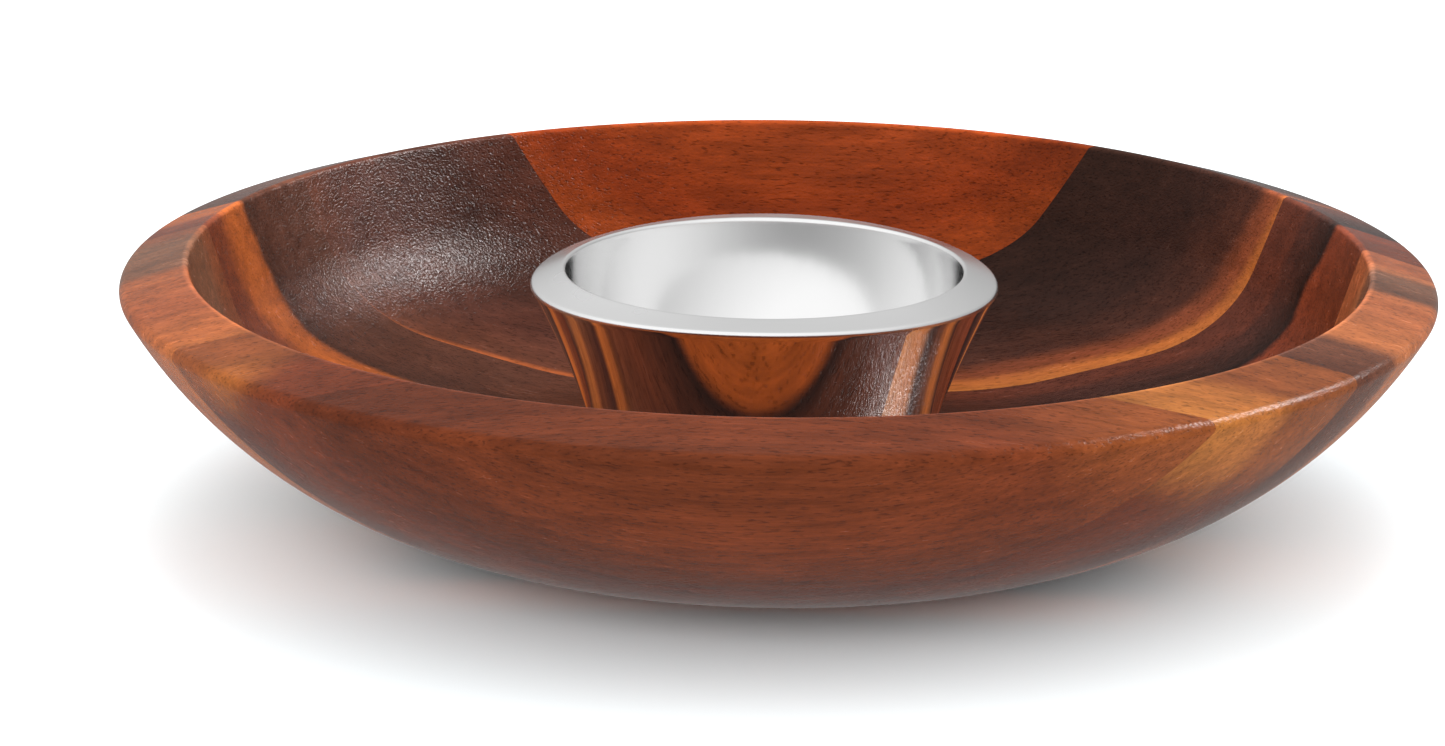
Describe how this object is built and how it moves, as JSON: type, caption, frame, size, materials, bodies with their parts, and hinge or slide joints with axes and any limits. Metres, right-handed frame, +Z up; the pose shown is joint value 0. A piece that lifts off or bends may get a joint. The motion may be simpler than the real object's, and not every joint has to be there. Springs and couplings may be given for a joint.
{
  "type": "chip and dip server",
  "caption": "Shallow round wooden serving bowl glued up from parallel boards, with a polished flared metal dip cup that lifts off its floor.",
  "frame": {"origin": "centre of the bowl's flat foot, on the surface that the bowl stands on", "axes": "+Z up; +X along the boards' grain, to the right seen from the front; +Y towards the back board"},
  "size_m": [0.2794, 0.2794, 0.057],
  "materials": {
    "plank_1_back_wood": "satin oiled",
    "plank_2_wood": "satin oiled",
    "plank_3_wood": "satin oiled",
    "plank_4_middle_wood": "satin oiled",
    "plank_5_wood": "satin oiled",
    "plank_6_wood": "satin oiled",
    "plank_7_front_wood": "satin oiled",
    "dip_cup_metal": "mirror polished"
  },
  "bodies": {
    "bowl": {"plank_1_back": "plank_1_back_wood", "plank_2": "plank_2_wood", "plank_3": "plank_3_wood", "plank_4_middle": "plank_4_middle_wood", "plank_5": "plank_5_wood", "plank_6": "plank_6_wood", "plank_7_front": "plank_7_front_wood"},
    "dip_cup": {"dip_cup": "dip_cup_metal"}
  },
  "joints": [
    {"name": "cup_lift", "type": "slide", "parent": "bowl", "child": "dip_cup", "axis": [0, 0, 1], "range_m": [0, 0.08]}
  ]
}
